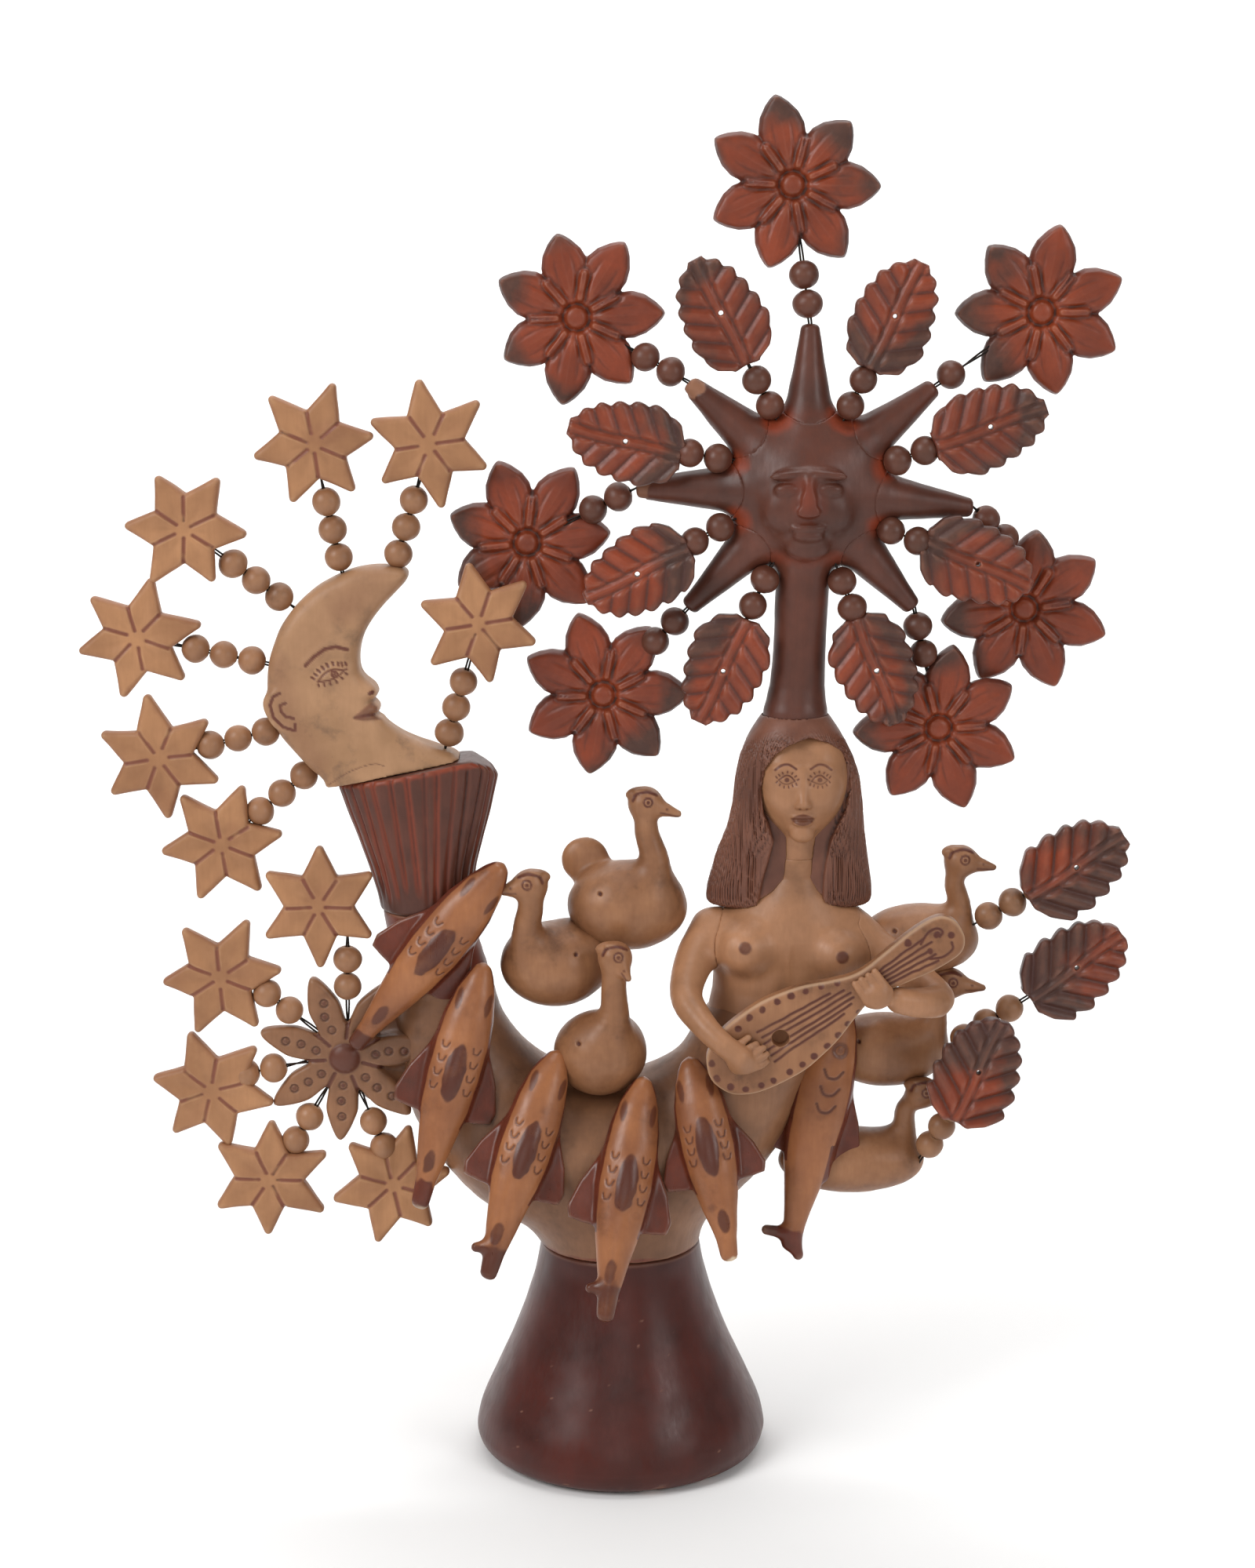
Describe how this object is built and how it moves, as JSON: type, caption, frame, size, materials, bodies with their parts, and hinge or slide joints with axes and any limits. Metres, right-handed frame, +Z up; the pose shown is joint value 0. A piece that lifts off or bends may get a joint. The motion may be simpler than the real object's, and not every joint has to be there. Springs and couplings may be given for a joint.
{
  "type": "clay tree of life sculpture",
  "caption": "Free-standing burnished clay folk sculpture: crescent on a bell foot with moon, sun, figure, birds, fish and wired stars, flowers and leaves.",
  "frame": {"origin": "middle of the bottom of the whole object's box, on the surface it stands on", "axes": "+Z up, +X to the right as seen from the front, the front faces -Y"},
  "size_m": [0.535, 0.1594, 0.6994],
  "materials": {
    "tan_clay": "burnished tan clay, satin, with smoky clouds",
    "pale_clay": "smooth pale tan clay, matte satin",
    "maroon_slip": "dark maroon slip, hand burnished, glossy",
    "umber_slip": "purplish brown slip, burnished satin",
    "red_slip": "orange-red slip with dark fire clouds, satin",
    "ochre_slip": "ochre clay with red-brown slip, burnished",
    "iron_wire": "dark oxidised iron wire"
  },
  "bodies": {
    "root": {"foot": "maroon_slip", "crescent": "tan_clay", "moon": "tan_clay", "rosette": "tan_clay", "woman": "tan_clay", "guitar": "tan_clay", "right_arm": "tan_clay", "left_arm": "tan_clay", "collar": "umber_slip", "sun_face": "umber_slip", "hair": "umber_slip", "sun_ray_1": "umber_slip", "sun_ray_2": "umber_slip", "sun_ray_3": "umber_slip", "sun_ray_4": "umber_slip", "sun_ray_5": "umber_slip", "sun_ray_6": "umber_slip", "sun_ray_7": "umber_slip", "left_bird_low": "tan_clay", "left_bird_middle": "tan_clay", "left_bird_top": "tan_clay", "right_bird_low": "tan_clay", "right_bird_middle": "tan_clay", "right_bird_top": "tan_clay", "fish_1": "ochre_slip", "fish_2": "ochre_slip", "fish_3": "ochre_slip", "fish_4": "ochre_slip", "fish_5": "ochre_slip", "fish_6": "ochre_slip", "moon_star_1": "pale_clay", "moon_star_2": "pale_clay", "moon_star_3": "pale_clay", "moon_star_4": "pale_clay", "moon_star_5": "pale_clay", "moon_star_6": "pale_clay", "moon_star_7": "pale_clay", "rosette_star_1": "pale_clay", "rosette_star_2": "pale_clay", "rosette_star_3": "pale_clay", "rosette_star_4": "pale_clay", "rosette_star_5": "pale_clay", "sun_flower_1": "red_slip", "sun_flower_2": "red_slip", "sun_flower_3": "red_slip", "sun_flower_4": "red_slip", "sun_flower_5": "red_slip", "sun_flower_6": "red_slip", "sun_flower_7": "red_slip", "sun_leaf_1": "red_slip", "sun_leaf_2": "red_slip", "sun_leaf_3": "red_slip", "sun_leaf_4": "red_slip", "sun_leaf_5": "red_slip", "sun_leaf_6": "red_slip", "sun_leaf_7": "red_slip", "sun_leaf_8": "red_slip", "bird_leaf_1": "red_slip", "bird_leaf_2": "red_slip", "bird_leaf_3": "red_slip"}
  },
  "joints": []
}
